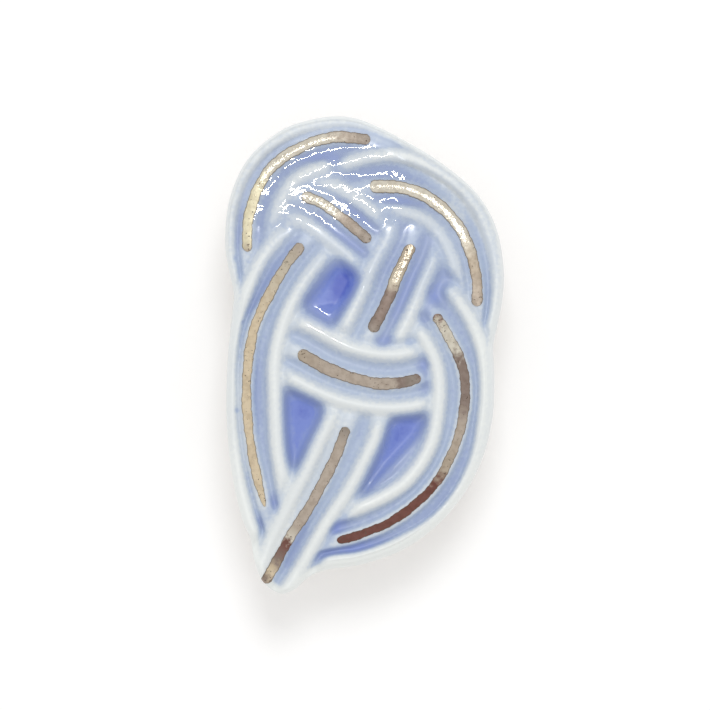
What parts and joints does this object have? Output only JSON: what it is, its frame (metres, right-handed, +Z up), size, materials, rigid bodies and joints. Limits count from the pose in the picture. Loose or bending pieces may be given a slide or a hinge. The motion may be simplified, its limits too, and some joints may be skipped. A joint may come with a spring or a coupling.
{
  "type": "obidome",
  "caption": "Sash-cord ornament in glazed porcelain, moulded as a tied cord knot with brushed metallic strokes, with a flat metal cord fitting on its back.",
  "frame": {"origin": "bottom middle of the part's bounding box, on the surface that the fitting's loops rest on", "axes": "+X to the right across the ornament seen from above, +Y along its length and along the cord, towards its rounded top, +Z up out of the glazed face"},
  "size_m": [0.0279, 0.0478, 0.0122],
  "materials": {
    "porcelain": "glossy",
    "lustre": "brushed",
    "fitting_metal": "satin"
  },
  "bodies": {
    "root": {"porcelain_body": "porcelain", "cord_fitting": "fitting_metal", "lustre_upper_left": "lustre", "lustre_upper_right": "lustre", "lustre_inner_left": "lustre", "lustre_inner_right": "lustre", "lustre_left_side": "lustre", "lustre_right_side": "lustre", "lustre_middle": "lustre", "lustre_tail": "lustre"}
  },
  "joints": []
}
